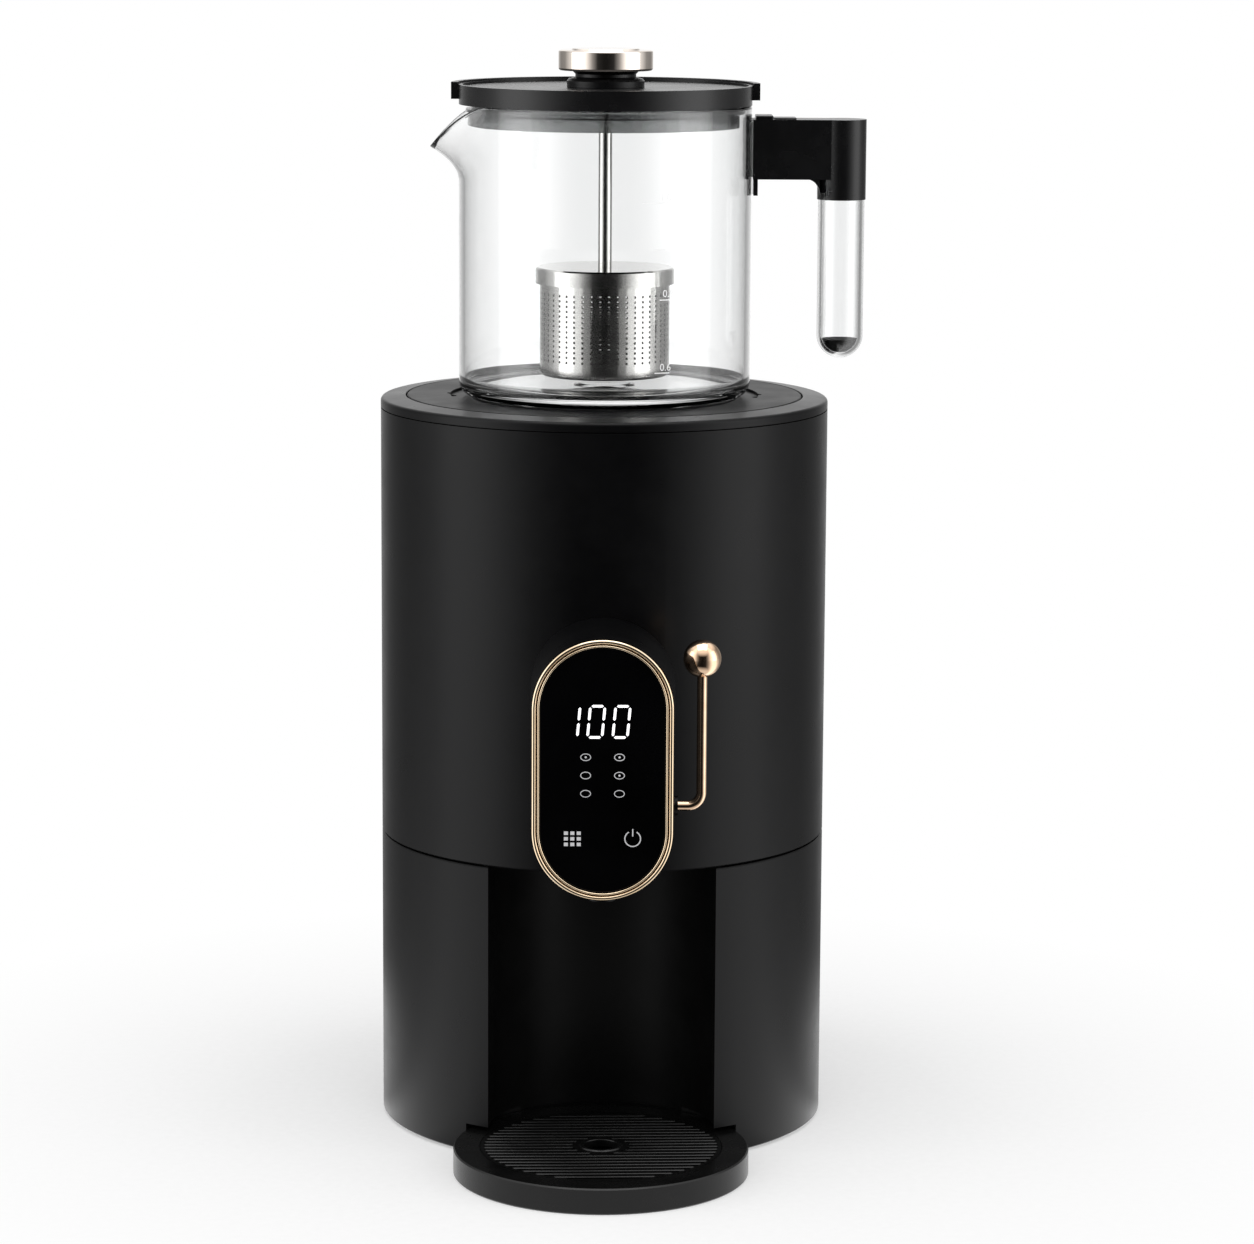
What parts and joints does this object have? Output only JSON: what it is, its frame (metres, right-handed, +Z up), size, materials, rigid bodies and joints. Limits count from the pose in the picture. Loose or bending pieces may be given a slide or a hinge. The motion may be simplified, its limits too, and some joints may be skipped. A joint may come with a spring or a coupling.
{
  "type": "automatic tea maker",
  "caption": "Round tea maker with a glass teapot on its boiler lid, a control pod with a lever tap, and a niche with a drip tray below.",
  "frame": {"origin": "on the housing's axis at floor level, in the underside of the middle foot", "axes": "+Z up, the front with the pod and tray faces -Y, the pot's handle and the tap lever are at +X"},
  "size_m": [0.2158, 0.2738, 0.4831],
  "materials": {
    "black_plastic": "satin black",
    "black_rubber": "matte black",
    "clear_silicone": "translucent grey",
    "steel": "brushed",
    "chrome_knob": "polished",
    "rose_gold": "polished rose gold",
    "aluminium": "cast",
    "circuit_board": "green laminate",
    "display_black": "glossy black",
    "clear_glass": "clear"
  },
  "bodies": {
    "base": {"base_plate": "black_plastic", "base_screws": "steel", "base_feet": "black_rubber", "lower_shell": "black_plastic", "niche_liner": "black_plastic", "mid_deck": "black_plastic", "upper_shell": "black_plastic", "top_ring": "black_plastic", "boiler_tank": "steel", "tank_gasket": "black_rubber", "heating_plate": "aluminium", "boiler_thermostat": "steel", "thermal_fuse": "steel", "water_probe": "steel", "power_board": "circuit_board", "board_guides": "black_plastic", "cord_gland": "black_rubber", "pod_housing": "black_plastic", "pod_screws": "steel", "bezel_ring": "rose_gold", "display_glass": "display_black", "display_board": "circuit_board", "tap_body": "black_plastic", "outlet_nozzle": "black_plastic", "feed_hose": "clear_silicone", "hose_clips": "steel", "lever_bush": "black_plastic"},
    "tap_valve": {"valve_stem": "steel", "valve_seal": "clear_silicone"},
    "tap_lever": {"lever_rod": "rose_gold", "lever_ball": "rose_gold", "lever_crank": "steel"},
    "boiler_lid": {"lid_plate": "black_plastic", "lid_seal": "black_rubber", "pot_seat_ring": "black_rubber"},
    "teapot": {"glass_jug": "clear_glass", "handle_bracket": "black_plastic", "handle_pad": "clear_silicone", "handle_tube": "clear_glass", "handle_plug": "black_rubber"},
    "pot_lid": {"pot_lid_disc": "black_plastic", "pot_lid_skirt": "clear_silicone", "rod_neck": "black_plastic"},
    "plunger": {"lid_knob": "chrome_knob", "plunger_rod": "steel", "infuser_cap": "steel"},
    "infuser": {"infuser_cup": "steel"},
    "drip_tray": {"tray_dish": "black_plastic"},
    "grille": {"tray_grille": "black_plastic"}
  },
  "joints": [
    {"name": "boiler_lid_lift", "type": "slide", "parent": "base", "child": "boiler_lid", "axis": [0, 0, 1], "range_m": [0, 0.06]},
    {"name": "teapot_lift", "type": "slide", "parent": "boiler_lid", "child": "teapot", "axis": [0, 0, 1], "range_m": [0, 0.08]},
    {"name": "pot_lid_lift", "type": "slide", "parent": "teapot", "child": "pot_lid", "axis": [0, 0, 1], "range_m": [0, 0.14]},
    {"name": "plunger_slide", "type": "slide", "parent": "pot_lid", "child": "plunger", "axis": [0, 0, 1], "range_m": [0, 0.055]},
    {"name": "infuser_twist", "type": "hinge", "parent": "plunger", "child": "infuser", "pos_m": [0, 0, 0.38], "axis": [0, 0, 1], "range_deg": [-25, 0]},
    {"name": "lever_turn", "type": "hinge", "parent": "base", "child": "tap_lever", "pos_m": [0, -0.128, 0.1675], "axis": [1, 0, 0], "range_deg": [0, 60]},
    {"name": "valve_lift", "type": "slide", "parent": "base", "child": "tap_valve", "axis": [0, 0, 1], "range_m": [0, 0.0031]},
    {"name": "tray_slide", "type": "slide", "parent": "base", "child": "drip_tray", "axis": [0, -1, 0], "range_m": [0, 0.12]},
    {"name": "grille_lift", "type": "slide", "parent": "drip_tray", "child": "grille", "axis": [0, 0, 1], "range_m": [0, 0.03]}
  ],
  "couplings": [
    {"joint": "valve_lift", "follows": "lever_turn", "m_per_rad": 0.0028648}
  ]
}
